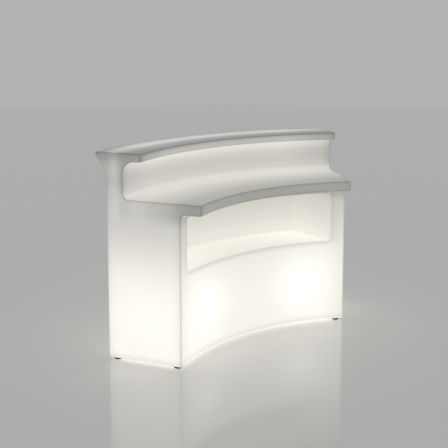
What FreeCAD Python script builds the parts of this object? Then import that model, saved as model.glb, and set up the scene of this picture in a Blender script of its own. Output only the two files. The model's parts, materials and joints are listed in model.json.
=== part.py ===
import FreeCAD, Part
import math
import os

# Curved bar counter, lit from inside: one hollow moulding that is a sixth of a ring in plan.
# Frame: X along the counter, +Y towards the customers, +Z up, origin under the middle of the whole.
# The body is swept round a vertical axis on the server's side. Radii are measured from that axis, and
# angles from the +Y direction, positive towards +X. All lengths are millimetres, all angles degrees.

V = FreeCAD.Vector
UP = V(0, 0, 1)
FULL_TURN = 360.0
SIDES = {"left": -1, "right": 1}

# Overrun of every cutting tool past the face that it opens, and the reach of "lies on this face"
OVERRUN = 20.0
ON_FACE = 0.01

# Sweep of the whole counter
SWEEP_DEGREES = 60.0
OUTER_WALL_RADIUS = 1600.0
HEIGHT = 1100.0

# Moulded body: wall, and the section from the bar top down to the base
WALL = 6.0
INNER_EDGE_ROUND = 3.0
FLARE_REACH = 62.0
FLARE_HEIGHT = 175.0
TOP_LIP_DEPTH = 45.0
TOP_OVERHANG = 105.0
UPPER_DEPTH = 95.0
TOP_COVE = 60.0
RECESS_HEIGHT = 194.0
SHELF_COVE = 32.0
SHELF_LIP_DEPTH = 57.0
SHELF_OVERHANG = 114.0
UNDER_COVE = 22.0
BODY_DEPTH = 416.0
BASE_ROUND = 24.0

# Storage niche below the shelf
END_POST_WIDTH = 71.0
NICHE_FLOOR_HEIGHT = 491.0
NICHE_DEPTH = 308.0
NICHE_COVE = 30.0
NICHE_SIDE_ROUND = 16.0
NICHE_RIM_ROUND = 7.0
NICHE_HEADER = 1.0

# Levelling feet: pad, stem with a spanner collar, brass insert
FOOT_INSET = 36.0
MIDDLE_FOOT_DEGREES = 10.0
PAD_RADIUS = 19.0
PAD_HEIGHT = 8.5
PAD_RIM_HEIGHT = 4.5
PAD_TOP_RADIUS = 12.0
PAD_EDGE_ROUND = 1.5
PAD_SOLE = 2.6
PAD_LIP = 1.9
STEM_HEAD_RADIUS = 7.0
STEM_NECK_RADIUS = 4.0
STEM_RADIUS = 5.0
STEM_CHAMFER = 1.0
COLLAR_FLATS = 17.0
COLLAR_HEIGHT = 3.1
FOOT_SEAT_GAP = 0.3
FOOT_RUN_GAP = 0.1
FOOT_FIT = 0.05
FOOT_TRAVEL = 15.0
FOOT_ENGAGEMENT = 15.0
FOOT_INSERT_RADIUS = 8.0
FOOT_INSERT_LENGTH = 26.0
INSERT_GROOVE_DEPTH = 1.0
STEM_END_GAP = 2.0
STEM_HOLE_GAP = 0.5

# Lamp bays in the base: pocket, hatch, plate, gasket, screws and their inserts
LAMP_DEGREES = 16.7
GLOBE_RADIUS = 47.5
HATCH_CLEARANCE = 4.5
PLATE_OVERLAP = 20.0
PLATE_CLEARANCE = 8.0
POCKET_DEPTH = 44.0
POCKET_ROUND = 6.0
PLATE_THICKNESS = 3.0
GASKET_THICKNESS = 2.0
GASKET_MARGIN = 2.0
SCREW_COUNT = 6
SCREW_RADIUS = 2.5
SCREW_ROOM = 0.4
SCREW_REACH = 11.0
SCREW_HEAD_RADIUS = 4.75
SCREW_HEAD_HEIGHT = 3.2
SCREW_HEAD_ROUND = 1.6
SCREW_SOCKET_FLATS = 3.0
SCREW_SOCKET_DEPTH = 1.8
SCREW_FIT = 0.05
INSERT_RADIUS = 4.0
INSERT_LENGTH = 13.0
BOSS_WALL = 5.0

# Lamp: post, lampholder, contact cup
POST_FLANGE_RADIUS = 22.0
POST_FLANGE_THICKNESS = 3.0
POST_RADIUS = 11.0
POST_WALL = 1.5
POST_HEIGHT = 62.0
HOLDER_WALL = 5.5
HOLDER_FLOOR = 24.0
HOLDER_FOOT_HEIGHT = 18.0
HOLDER_STEP = 2.5
HOLDER_ROUND = 1.5
CONTACT_WALL = 0.8
CONTACT_FIT = 0.1

# Bulb: screw cap, ribbed collar, opal globe
CAP_RADIUS = 13.2
CAP_LENGTH = 25.0
CAP_TIP_LENGTH = 3.0
CAP_TIP_RADIUS = 5.0
CAP_SHOW = 2.0
BULB_COLLAR_HEIGHT = 42.0
BULB_COLLAR_FOOT_RADIUS = 16.0
BULB_COLLAR_RADIUS = 30.0
BULB_COLLAR_EDGE = 4.0
RIB_COUNT = 18
RIB_THICKNESS = 2.0
RIB_DEPTH = 3.0
GLOBE_WALL = 2.0

# Wiring: terminal blocks, lamp leads, link cable
BLOCK_LENGTH = 30.0
BLOCK_WIDTH = 14.0
BLOCK_HEIGHT = 20.0
BLOCK_OFFSET = 36.0
BLOCK_SCREW_RADIUS = 2.2
BLOCK_SCREW_DEPTH = 3.0
BLOCK_SCREW_PITCH = 10.0
LEAD_RADIUS = 1.3
LEAD_SPREAD = 6.0
LEAD_BEND = 12.0
LEAD_ROOM = 0.3
LEAD_ENTRY_DEPTH = 4.0
LEAD_ENTRY_HEIGHT = 9.0
CABLE_RADIUS = 3.5
CABLE_ENTRY_DROP = 6.0
CABLE_REST_GAP = 0.3
CABLE_BEND = 40.0

# Cable gland in the right plate
GLAND_OFFSET = 36.0
GLAND_BORE = 3.7
GLAND_THREAD_RADIUS = 8.0
GLAND_THREAD_ROOM = 0.25
GLAND_FLATS = 20.0
GLAND_FLANGE = 4.0
GLAND_SKIRT = 8.0
GLAND_SKIRT_WALL = 1.6
LOCKNUT_HEIGHT = 4.0
LOCKNUT_FLATS = 21.0
GLAND_CAP_HEIGHT = 13.0
GLAND_CAP_RADIUS = 10.5
GLAND_CAP_ROUND = 3.0
GLAND_FIT = 0.1
SEAL_LENGTH = 7.0

# Sizes that follow from the ones above
HALF_SWEEP = SWEEP_DEGREES / 2
HALF_SWEEP_RAD = math.radians(HALF_SWEEP)
EDGE_ROUND = WALL + INNER_EDGE_ROUND
END_ROUND = WALL
UPPER_WALL_RADIUS = OUTER_WALL_RADIUS - UPPER_DEPTH
TOP_LIP_RADIUS = UPPER_WALL_RADIUS - TOP_OVERHANG
INNER_WALL_RADIUS = OUTER_WALL_RADIUS - BODY_DEPTH
SHELF_LIP_RADIUS = INNER_WALL_RADIUS - SHELF_OVERHANG
TOP_EDGE_RADIUS = OUTER_WALL_RADIUS + FLARE_REACH
FAR = 2 * TOP_EDGE_RADIUS
SHELF_HEIGHT = HEIGHT - TOP_LIP_DEPTH - RECESS_HEIGHT
SHELF_UNDERSIDE = SHELF_HEIGHT - SHELF_LIP_DEPTH
NICHE_HALF_WIDTH = INNER_WALL_RADIUS * math.sin(HALF_SWEEP_RAD) - END_POST_WIDTH
NICHE_CEILING = SHELF_UNDERSIDE - UNDER_COVE - NICHE_HEADER - NICHE_RIM_ROUND
COLLAR_BOTTOM = PAD_HEIGHT + FOOT_RUN_GAP
BASE = COLLAR_BOTTOM + COLLAR_HEIGHT + FOOT_SEAT_GAP
STEM_TOP = BASE + FOOT_TRAVEL + FOOT_ENGAGEMENT
HATCH_RADIUS = GLOBE_RADIUS + HATCH_CLEARANCE
PLATE_RADIUS = HATCH_RADIUS + PLATE_OVERLAP
POCKET_RADIUS = PLATE_RADIUS + PLATE_CLEARANCE
SCREW_CIRCLE = (HATCH_RADIUS + PLATE_RADIUS) / 2
LAMP_RADIUS = OUTER_WALL_RADIUS - BODY_DEPTH / 2
POCKET_CEILING = BASE + POCKET_DEPTH
PLATE_TOP = POCKET_CEILING - GASKET_THICKNESS
PLATE_BOTTOM = PLATE_TOP - PLATE_THICKNESS
POST_TOP = PLATE_TOP + POST_HEIGHT
CONTACT_RADIUS = CAP_RADIUS + CONTACT_FIT + CONTACT_WALL
HOLDER_RADIUS = CONTACT_RADIUS + CONTACT_FIT + HOLDER_WALL
CONTACT_BASE = POST_TOP + HOLDER_FLOOR
CAP_BASE = CONTACT_BASE + CONTACT_WALL
CAP_TOP = CAP_BASE + CAP_TIP_LENGTH + CAP_LENGTH
HOLDER_TOP = CAP_TOP - CAP_SHOW
COLLAR_TOP = CAP_TOP + BULB_COLLAR_HEIGHT
GLOBE_CENTRE = COLLAR_TOP + math.sqrt(GLOBE_RADIUS ** 2 - BULB_COLLAR_RADIUS ** 2)

# The axis stands so that the whole is centred on the origin front to back: the front limit is the
# rounded corner of the shelf lip at each end, the back limit the flared edge of the bar top.
CORNER_RADIUS = SHELF_LIP_RADIUS + END_ROUND
CORNER_ANGLE = HALF_SWEEP_RAD - math.asin(END_ROUND / CORNER_RADIUS)
FRONT_REACH = CORNER_RADIUS * math.cos(CORNER_ANGLE) - END_ROUND
AXIS_Y = -(TOP_EDGE_RADIUS + FRONT_REACH) / 2
AXIS = V(0, AXIS_Y, 0)


def polar(radius, degrees, z):
    """A point at a radius and angle about the counter's axis."""
    turn = math.radians(degrees)
    return V(radius * math.sin(turn), AXIS_Y + radius * math.cos(turn), z)


def radius_of(point):
    """Distance of a point from the counter's axis."""
    return math.hypot(point.x, point.y - AXIS_Y)


def unit(vector):
    """A copy of a vector with length one."""
    return V(vector).normalize()


def corner_arc(before, corner, after, radius):
    """Start, middle and end of the round that replaces a corner."""
    back = unit(before - corner)
    ahead = unit(after - corner)
    half = back.getAngle(ahead) / 2
    reach = radius / math.tan(half)
    inward = unit(back + ahead)
    middle = corner + inward * (radius / math.sin(half) - radius)
    return corner + back * reach, middle, corner + ahead * reach


def path_edges(corners):
    """Edges of an open path through (point, round) corners; its two ends are sharp."""
    edges = []
    here = corners[0][0]
    for (before, _), (corner, radius), (after, _) in zip(corners, corners[1:], corners[2:]):
        start, middle, end = corner, corner, corner
        if radius > 0:
            start, middle, end = corner_arc(before, corner, after, radius)
        edges.append(Part.LineSegment(here, start).toShape())
        if radius > 0:
            edges.append(Part.Arc(start, middle, end).toShape())
        here = end
    edges.append(Part.LineSegment(here, corners[-1][0]).toShape())
    return edges


def closed_face(corners):
    """A flat face bounded by (point, round) corners, the first one sharp."""
    return Part.Face(Part.Wire(path_edges(corners + corners[:1])))


def turned(centre, outline):
    """A solid of revolution about a vertical line from (radius, height, round) corners."""
    corners = [(V(centre.x + radius, centre.y, z), round_) for radius, z, round_ in outline]
    return closed_face(corners).revolve(V(centre.x, centre.y, 0), UP, FULL_TURN)


def cylinder(centre, radius, bottom, top):
    """An upright cylinder between two heights."""
    return Part.makeCylinder(radius, top - bottom, V(centre.x, centre.y, bottom))


def hexagon(centre, flats, bottom, top):
    """An upright hexagonal prism of a width across flats."""
    reach = flats / math.sqrt(3)
    points = []
    for index in range(7):
        turn = math.radians(index * FULL_TURN / 6)
        points.append(V(centre.x + reach * math.cos(turn), centre.y + reach * math.sin(turn), bottom))
    return Part.Face(Part.makePolygon(points)).extrude(UP * (top - bottom))


def ring_places(centre, radius, count):
    """Points evenly spaced on a circle, the first one along +X."""
    turns = [2 * math.pi * index / count for index in range(count)]
    return [V(centre.x + radius * math.cos(turn), centre.y + radius * math.sin(turn), 0) for turn in turns]


def edges_where(shape, test):
    """Edges of a shape whose sampled points all pass a test."""
    return [edge for edge in shape.Edges if all(test(point) for point in edge.discretize(7))]


def tube(route, radius, bend):
    """A round tube along a route, with one bend radius at its inner points."""
    path = Part.Wire(path_edges([(point, bend) for point in route]))
    section = Part.Wire(Part.Circle(route[0], unit(route[1] - route[0]), radius).toShape())
    return path.makePipeShell([section], True, False)


def swept(face):
    """A section face carried round the counter's axis from one end to the other."""
    start = face.copy()
    start.rotate(AXIS, UP, -HALF_SWEEP)
    return start.revolve(AXIS, UP, SWEEP_DEGREES)


def in_section(radius, z):
    """A point of the body's section, in the plane of symmetry."""
    return polar(radius, 0, z)


def counter_section(inset):
    """The body's section, or the hollow inside it at a wall's inset."""
    edge = EDGE_ROUND - inset
    flare_start = HEIGHT - FLARE_HEIGHT
    rise = FLARE_HEIGHT - EDGE_ROUND
    out = FLARE_REACH - EDGE_ROUND
    flare = (out ** 2 + rise ** 2 - EDGE_ROUND ** 2) / (2 * FLARE_REACH)
    flare_centre = in_section(OUTER_WALL_RADIUS + flare, flare_start)
    tip_centre = in_section(TOP_EDGE_RADIUS - EDGE_ROUND, HEIGHT - EDGE_ROUND)
    down = unit(flare_centre - tip_centre)
    tip_end = tip_centre + down * edge
    tip_middle = tip_centre + unit(down + UP) * edge
    tip_start = tip_centre + UP * edge
    wall_end = in_section(OUTER_WALL_RADIUS - inset, flare_start)
    flare_middle = flare_centre - unit(down + unit(flare_centre - wall_end)) * (flare + inset)
    corners = [
        (tip_start, 0),
        (in_section(TOP_LIP_RADIUS + inset, HEIGHT - inset), edge),
        (in_section(TOP_LIP_RADIUS + inset, HEIGHT - TOP_LIP_DEPTH + inset), edge),
        (in_section(UPPER_WALL_RADIUS + inset, HEIGHT - TOP_LIP_DEPTH + inset), TOP_COVE + inset),
        (in_section(UPPER_WALL_RADIUS + inset, SHELF_HEIGHT - inset), SHELF_COVE + inset),
        (in_section(SHELF_LIP_RADIUS + inset, SHELF_HEIGHT - inset), edge),
        (in_section(SHELF_LIP_RADIUS + inset, SHELF_UNDERSIDE + inset), edge),
        (in_section(INNER_WALL_RADIUS + inset, SHELF_UNDERSIDE + inset), UNDER_COVE + inset),
        (in_section(INNER_WALL_RADIUS + inset, BASE + inset), BASE_ROUND - inset),
        (in_section(OUTER_WALL_RADIUS - inset, BASE + inset), BASE_ROUND - inset),
        (wall_end, 0),
    ]
    edges = path_edges(corners)
    edges.append(Part.Arc(wall_end, flare_middle, tip_end).toShape())
    edges.append(Part.Arc(tip_end, tip_middle, tip_start).toShape())
    return Part.Face(Part.Wire(edges))


def niche(grow):
    """The niche's space, or with a wall's growth the space that the hollow keeps clear of."""
    mouth = SHELF_LIP_RADIUS
    back = INNER_WALL_RADIUS + NICHE_DEPTH + grow
    floor = NICHE_FLOOR_HEIGHT - grow
    ceiling = NICHE_CEILING + grow
    half_width = NICHE_HALF_WIDTH + grow
    section = closed_face([
        (in_section(mouth, floor), 0),
        (in_section(back, floor), NICHE_COVE + grow),
        (in_section(back, ceiling), NICHE_COVE + grow),
        (in_section(mouth, ceiling), 0),
    ])
    band = Part.makeBox(2 * half_width, FAR, HEIGHT, V(-half_width, AXIS_Y, 0))
    space = swept(section).common(band).Solids[0]

    def along_side(point):
        return abs(abs(point.x) - half_width) < ON_FACE

    sides = [edge for edge in edges_where(space, along_side)
             if max(radius_of(point) for point in edge.discretize(7)) > mouth + ON_FACE]
    return space.makeFillet(NICHE_SIDE_ROUND + grow, sides)


def within_ends(inset):
    """The wedge of space between the two flat ends, drawn in by an inset."""
    apex = AXIS + V(0, inset / math.sin(HALF_SWEEP_RAD), 0)
    right = apex + V(math.sin(HALF_SWEEP_RAD), math.cos(HALF_SWEEP_RAD), 0) * FAR
    left = V(-right.x, right.y, right.z)
    return Part.Face(Part.makePolygon([apex, right, left, apex])).extrude(UP * (HEIGHT + OVERRUN))


def on_end(point):
    """Whether a point lies in one of the two flat ends."""
    side = math.copysign(HALF_SWEEP_RAD, point.x)
    return abs(point.x * math.cos(side) - (point.y - AXIS_Y) * math.sin(side)) < ON_FACE


def on_niche_rim(point):
    """Whether a point lies on the niche's rim in the inner wall."""
    low = NICHE_FLOOR_HEIGHT - ON_FACE
    high = NICHE_CEILING + ON_FACE
    return abs(radius_of(point) - INNER_WALL_RADIUS) < ON_FACE and low < point.z < high


def lamp_centre(side):
    """The middle of one lamp bay, on the floor."""
    return polar(LAMP_RADIUS, SIDES[side] * LAMP_DEGREES, 0)


def foot_places():
    """Where each foot stands, by name: four corners and two under the middle of the outer wall."""
    inner = INNER_WALL_RADIUS + FOOT_INSET
    outer = OUTER_WALL_RADIUS - FOOT_INSET
    places = {}
    for side, sign in SIDES.items():
        for row, radius in (("inner", inner), ("outer", outer)):
            degrees = HALF_SWEEP - math.degrees(math.asin(FOOT_INSET / radius))
            places[f"{row}_{side}"] = polar(radius, sign * degrees, 0)
        places[f"middle_{side}"] = polar(outer, sign * MIDDLE_FOOT_DEGREES, 0)
    return places


def insert_envelope(centre, radius, bottom, length):
    """The outside of a moulded-in insert: a plug with a groove round its middle third."""
    third = length / 3
    waist = radius - INSERT_GROOVE_DEPTH
    return turned(centre, [
        (0, bottom, 0), (radius, bottom, 0), (radius, bottom + third, 0), (waist, bottom + third, 0),
        (waist, bottom + 2 * third, 0), (radius, bottom + 2 * third, 0), (radius, bottom + length, 0),
        (0, bottom + length, 0),
    ])


def body_shell():
    """The hollow moulding: outside form less the hollow, with lamp bays and foot bosses."""
    shape = swept(counter_section(0))
    shape = shape.makeFillet(END_ROUND, edges_where(shape, on_end))
    shape = shape.cut(niche(0))
    shape = shape.makeFillet(NICHE_RIM_ROUND, edges_where(shape, on_niche_rim))
    hollow = swept(counter_section(WALL)).common(within_ends(WALL)).cut(niche(WALL))
    holes = []
    for side in SIDES:
        centre = lamp_centre(side)

        def on_mouth(point):
            out = math.hypot(point.x - centre.x, point.y - centre.y)
            return abs(point.z - BASE) < ON_FACE and abs(out - POCKET_RADIUS) < ON_FACE

        shape = shape.cut(cylinder(centre, POCKET_RADIUS, 0, POCKET_CEILING))
        shape = shape.makeFillet(POCKET_ROUND, edges_where(shape, on_mouth))
        hollow = hollow.cut(cylinder(centre, POCKET_RADIUS + WALL, 0, POCKET_CEILING + WALL))
        holes.append(cylinder(centre, HATCH_RADIUS, BASE, POCKET_CEILING + WALL + OVERRUN))
        for place in ring_places(centre, SCREW_CIRCLE, SCREW_COUNT):
            boss_top = POCKET_CEILING + INSERT_LENGTH + BOSS_WALL
            hollow = hollow.cut(cylinder(place, INSERT_RADIUS + BOSS_WALL, POCKET_CEILING, boss_top))
            holes.append(insert_envelope(place, INSERT_RADIUS, POCKET_CEILING, INSERT_LENGTH))
    for place in foot_places().values():
        hole_top = STEM_TOP + STEM_END_GAP
        hollow = hollow.cut(cylinder(place, FOOT_INSERT_RADIUS + WALL, 0, hole_top + WALL))
        holes.append(insert_envelope(place, FOOT_INSERT_RADIUS, BASE, FOOT_INSERT_LENGTH))
        holes.append(cylinder(place, STEM_RADIUS + STEM_HOLE_GAP, BASE, hole_top))
    return shape.cut(hollow).cut(holes)


def foot_pad(centre):
    """A foot's pad: sole, rounded rim, sloped top, and the socket that keeps the stem's head."""
    socket = STEM_HEAD_RADIUS + FOOT_RUN_GAP
    neck = STEM_NECK_RADIUS + FOOT_RUN_GAP
    lip_bottom = PAD_HEIGHT - PAD_LIP
    return turned(centre, [
        (0, 0, 0), (PAD_RADIUS, 0, PAD_EDGE_ROUND), (PAD_RADIUS, PAD_RIM_HEIGHT, PAD_EDGE_ROUND),
        (PAD_TOP_RADIUS, PAD_HEIGHT, PAD_EDGE_ROUND), (neck, PAD_HEIGHT, 0), (neck, lip_bottom, 0),
        (socket, lip_bottom, 0), (socket, PAD_SOLE, 0), (0, PAD_SOLE, 0),
    ])


def foot_stem(centre):
    """A foot's stem: head in the pad, neck, hexagonal spanner collar and threaded shank."""
    head_bottom = PAD_SOLE + FOOT_RUN_GAP
    head_top = PAD_HEIGHT - PAD_LIP - FOOT_RUN_GAP
    spindle = turned(centre, [
        (0, head_bottom, 0), (STEM_HEAD_RADIUS, head_bottom, 0), (STEM_HEAD_RADIUS, head_top, 0),
        (STEM_NECK_RADIUS, head_top, 0), (STEM_NECK_RADIUS, COLLAR_BOTTOM, 0),
        (STEM_RADIUS, COLLAR_BOTTOM, 0), (STEM_RADIUS, STEM_TOP - STEM_CHAMFER, 0),
        (STEM_RADIUS - STEM_CHAMFER, STEM_TOP, 0), (0, STEM_TOP, 0),
    ])
    collar = hexagon(centre, COLLAR_FLATS, COLLAR_BOTTOM, COLLAR_BOTTOM + COLLAR_HEIGHT)
    return spindle.fuse(collar).removeSplitter()


def foot_inserts():
    """The brass inserts that the stems turn in."""
    inserts = []
    for place in foot_places().values():
        plug = insert_envelope(place, FOOT_INSERT_RADIUS, BASE, FOOT_INSERT_LENGTH)
        bore = cylinder(place, STEM_RADIUS + FOOT_FIT, 0, STEM_TOP + OVERRUN)
        inserts.append(plug.cut(bore))
    return Part.makeCompound(inserts)


def plate_inserts(centre):
    """The brass inserts that hold one lamp plate's screws."""
    inserts = []
    for place in ring_places(centre, SCREW_CIRCLE, SCREW_COUNT):
        plug = insert_envelope(place, INSERT_RADIUS, POCKET_CEILING, INSERT_LENGTH)
        bore = cylinder(place, SCREW_RADIUS + SCREW_FIT, PLATE_BOTTOM, POCKET_CEILING + SCREW_REACH + SCREW_ROOM)
        inserts.append(plug.cut(bore))
    return Part.makeCompound(inserts)


def plate_screws(centre):
    """The screws of one lamp plate: round head with a hexagon socket, and shank."""
    screws = []
    for place in ring_places(centre, SCREW_CIRCLE, SCREW_COUNT):
        head_bottom = PLATE_BOTTOM - SCREW_HEAD_HEIGHT
        tip = POCKET_CEILING + SCREW_REACH
        screw = turned(place, [
            (0, head_bottom, 0), (SCREW_HEAD_RADIUS, head_bottom, SCREW_HEAD_ROUND),
            (SCREW_HEAD_RADIUS, PLATE_BOTTOM, 0), (SCREW_RADIUS, PLATE_BOTTOM, 0), (SCREW_RADIUS, tip, 0),
            (0, tip, 0),
        ])
        socket = hexagon(place, SCREW_SOCKET_FLATS, head_bottom, head_bottom + SCREW_SOCKET_DEPTH)
        screws.append(screw.cut(socket))
    return Part.makeCompound(screws)


def screw_holes(centre):
    """Clearance holes for one plate's screws."""
    radius = SCREW_RADIUS + SCREW_ROOM
    places = ring_places(centre, SCREW_CIRCLE, SCREW_COUNT)
    return [cylinder(place, radius, BASE, POCKET_CEILING + OVERRUN) for place in places]


def gland_centre(side):
    """The middle of the cable gland on a lamp plate."""
    return lamp_centre(side) - V(0, GLAND_OFFSET, 0)


def lamp_plate(side, has_gland):
    """The round steel plate that closes a lamp bay and carries its lamp."""
    centre = lamp_centre(side)
    holes = screw_holes(centre)
    if has_gland:
        radius = GLAND_THREAD_RADIUS + GLAND_THREAD_ROOM
        holes.append(cylinder(gland_centre(side), radius, BASE, POCKET_CEILING))
    return cylinder(centre, PLATE_RADIUS, PLATE_BOTTOM, PLATE_TOP).cut(holes)


def lamp_gasket(centre):
    """The sealing ring between a lamp plate and the body."""
    ring = cylinder(centre, PLATE_RADIUS - GASKET_MARGIN, PLATE_TOP, POCKET_CEILING)
    opening = cylinder(centre, HATCH_RADIUS + GASKET_MARGIN, BASE, POCKET_CEILING + OVERRUN)
    return ring.cut([opening] + screw_holes(centre))


def lamp_post(centre):
    """The flanged tube that lifts the lampholder off the plate, closed at its top."""
    flange_top = PLATE_TOP + POST_FLANGE_THICKNESS
    bore = POST_RADIUS - POST_WALL
    return turned(centre, [
        (bore, PLATE_TOP, 0), (POST_FLANGE_RADIUS, PLATE_TOP, 0), (POST_FLANGE_RADIUS, flange_top, 0),
        (POST_RADIUS, flange_top, POST_WALL), (POST_RADIUS, POST_TOP, 0), (0, POST_TOP, 0),
        (0, POST_TOP - POST_WALL, 0), (bore, POST_TOP - POST_WALL, 0),
    ])


def lead_height():
    """The height at which the leads go into the lampholder."""
    return POST_TOP + LEAD_ENTRY_HEIGHT


def lead_places(centre):
    """Where the two leads of a lamp stand on its terminal block."""
    return [V(centre.x + sign * LEAD_SPREAD, centre.y + BLOCK_OFFSET, 0) for sign in SIDES.values()]


def lampholder(centre):
    """The moulded lampholder: stepped outside, cup for the contact, two lead entries."""
    bore = CONTACT_RADIUS + CONTACT_FIT
    foot = HOLDER_RADIUS + HOLDER_STEP
    foot_top = POST_TOP + HOLDER_FOOT_HEIGHT
    body = turned(centre, [
        (0, POST_TOP, 0), (foot, POST_TOP, HOLDER_ROUND), (foot, foot_top, HOLDER_ROUND),
        (HOLDER_RADIUS, foot_top, HOLDER_ROUND), (HOLDER_RADIUS, HOLDER_TOP, HOLDER_ROUND),
        (bore, HOLDER_TOP, 0), (bore, CONTACT_BASE, 0), (0, CONTACT_BASE, 0),
    ])
    entries = []
    for place in lead_places(centre):
        start = V(place.x, centre.y + foot - HOLDER_WALL, lead_height())
        entries.append(Part.makeCylinder(LEAD_RADIUS + LEAD_ROOM, OVERRUN, start, V(0, 1, 0)))
    return body.cut(entries)


def lampholder_contact(centre):
    """The metal cup that the bulb's cap screws into."""
    bore = CAP_RADIUS + CONTACT_FIT
    top = CAP_BASE + CAP_TIP_LENGTH + CAP_LENGTH / 2
    return turned(centre, [
        (0, CONTACT_BASE, 0), (CONTACT_RADIUS, CONTACT_BASE, 0), (CONTACT_RADIUS, top, 0), (bore, top, 0),
        (bore, CAP_BASE, 0), (0, CAP_BASE, 0),
    ])


def bulb_cap(centre):
    """The bulb's screw cap with its tapered tip."""
    shoulder = CAP_BASE + CAP_TIP_LENGTH
    return turned(centre, [
        (0, CAP_BASE, 0), (CAP_TIP_RADIUS, CAP_BASE, 0), (CAP_RADIUS, shoulder, 0), (CAP_RADIUS, CAP_TOP, 0),
        (0, CAP_TOP, 0),
    ])


def bulb_collar(centre):
    """The bulb's cooling collar: a cone with a plain rim and upright ribs."""
    rim = COLLAR_TOP - BULB_COLLAR_EDGE
    foot = BULB_COLLAR_FOOT_RADIUS - RIB_DEPTH
    cone = turned(centre, [
        (0, CAP_TOP, 0), (BULB_COLLAR_FOOT_RADIUS, CAP_TOP, 0),
        (BULB_COLLAR_FOOT_RADIUS, CAP_TOP + BULB_COLLAR_EDGE, 0), (foot, CAP_TOP + BULB_COLLAR_EDGE, 0),
        (BULB_COLLAR_RADIUS - RIB_DEPTH, rim, 0), (BULB_COLLAR_RADIUS, rim, 0),
        (BULB_COLLAR_RADIUS, COLLAR_TOP, 0), (0, COLLAR_TOP, 0),
    ])
    half = RIB_THICKNESS / 2
    fin = closed_face([
        (centre + V(0, -half, CAP_TOP), 0), (centre + V(BULB_COLLAR_FOOT_RADIUS, -half, CAP_TOP), 0),
        (centre + V(BULB_COLLAR_RADIUS, -half, rim), 0), (centre + V(0, -half, rim), 0),
    ]).extrude(V(0, RIB_THICKNESS, 0))
    ribs = []
    for index in range(RIB_COUNT):
        rib = fin.copy()
        rib.rotate(centre, UP, index * FULL_TURN / RIB_COUNT)
        ribs.append(rib)
    return cone.fuse(ribs).removeSplitter()


def bulb_globe(centre):
    """The opal globe: a hollow ball cut off where it stands on the collar."""
    middle = V(centre.x, centre.y, GLOBE_CENTRE)
    ball = Part.makeSphere(GLOBE_RADIUS, middle).cut(Part.makeSphere(GLOBE_RADIUS - GLOBE_WALL, middle))
    return ball.cut(cylinder(centre, GLOBE_RADIUS, GLOBE_CENTRE - FAR, COLLAR_TOP))


def block_corner(centre):
    """The lowest corner of a lamp's terminal block."""
    return V(centre.x - BLOCK_LENGTH / 2, centre.y + BLOCK_OFFSET - BLOCK_WIDTH / 2, PLATE_TOP)


def terminal_block(centre):
    """A terminal block on the lamp plate, with a row of clamp screws in its outer face."""
    block = Part.makeBox(BLOCK_LENGTH, BLOCK_WIDTH, BLOCK_HEIGHT, block_corner(centre))
    wells = []
    for step in (-1, 0, 1):
        mouth = block_corner(centre)
        mouth += V(BLOCK_LENGTH / 2 + step * BLOCK_SCREW_PITCH, BLOCK_WIDTH - BLOCK_SCREW_DEPTH, BLOCK_HEIGHT / 2)
        wells.append(Part.makeCylinder(BLOCK_SCREW_RADIUS, OVERRUN, mouth, V(0, 1, 0)))
    return block.cut(wells)


def lamp_leads(centre):
    """Two leads from the terminal block up and into the lampholder."""
    leads = []
    entry = centre.y + HOLDER_RADIUS + HOLDER_STEP - LEAD_ENTRY_DEPTH
    for place in lead_places(centre):
        route = [
            V(place.x, place.y, PLATE_TOP + BLOCK_HEIGHT),
            V(place.x, place.y, lead_height()),
            V(place.x, entry, lead_height()),
        ]
        leads.append(tube(route, LEAD_RADIUS, LEAD_BEND))
    return Part.makeCompound(leads)


def link_cable():
    """The cable inside the body: over each bay's rim, then along the floor of the moulding."""
    left = lamp_centre("left")
    y = left.y + BLOCK_OFFSET
    high = PLATE_TOP + BLOCK_HEIGHT - CABLE_ENTRY_DROP
    low = BASE + WALL + CABLE_RADIUS + CABLE_REST_GAP
    half_route = [
        V(left.x + BLOCK_LENGTH / 2, y, high),
        V(left.x + POCKET_RADIUS + WALL + BLOCK_LENGTH, y, high),
        V(left.x + 2 * POCKET_RADIUS + BLOCK_LENGTH, y, low),
        V(left.x / 4, y + BLOCK_WIDTH, low),
    ]
    mirrored = [V(-point.x, point.y, point.z) for point in reversed(half_route)]
    return tube(half_route + mirrored, CABLE_RADIUS, CABLE_BEND)


def gland_pieces(side):
    """The cable gland of the mains cord: body, locknut, seal and cap nut."""
    centre = gland_centre(side)
    flange_bottom = PLATE_BOTTOM - GLAND_FLANGE
    skirt_bottom = flange_bottom - GLAND_SKIRT
    thread_top = PLATE_TOP + LOCKNUT_HEIGHT
    seal_room = GLAND_THREAD_RADIUS - GLAND_SKIRT_WALL
    bore = cylinder(centre, GLAND_BORE, 0, thread_top + OVERRUN)
    seat = cylinder(centre, seal_room, 0, skirt_bottom + SEAL_LENGTH)
    stalk = cylinder(centre, GLAND_THREAD_RADIUS, skirt_bottom, thread_top)
    flange = hexagon(centre, GLAND_FLATS, flange_bottom, PLATE_BOTTOM)
    body = stalk.fuse(flange).removeSplitter().cut([bore, seat])
    locknut = hexagon(centre, LOCKNUT_FLATS, PLATE_TOP, thread_top)
    locknut = locknut.cut(cylinder(centre, GLAND_THREAD_RADIUS + GLAND_FIT, 0, thread_top + OVERRUN))
    seal = cylinder(centre, seal_room - GLAND_FIT, skirt_bottom, skirt_bottom + SEAL_LENGTH).cut(bore)
    cap_bottom = flange_bottom - GLAND_CAP_HEIGHT
    cap_room = GLAND_THREAD_RADIUS + GLAND_FIT
    cap = turned(centre, [
        (GLAND_BORE, cap_bottom, 0), (GLAND_CAP_RADIUS, cap_bottom, GLAND_CAP_ROUND),
        (GLAND_CAP_RADIUS, flange_bottom, 0), (cap_room, flange_bottom, 0), (cap_room, skirt_bottom, 0),
        (GLAND_BORE, skirt_bottom, 0),
    ])
    return {"gland_body": body, "gland_locknut": locknut, "gland_seal": seal, "gland_cap": cap}


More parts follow.
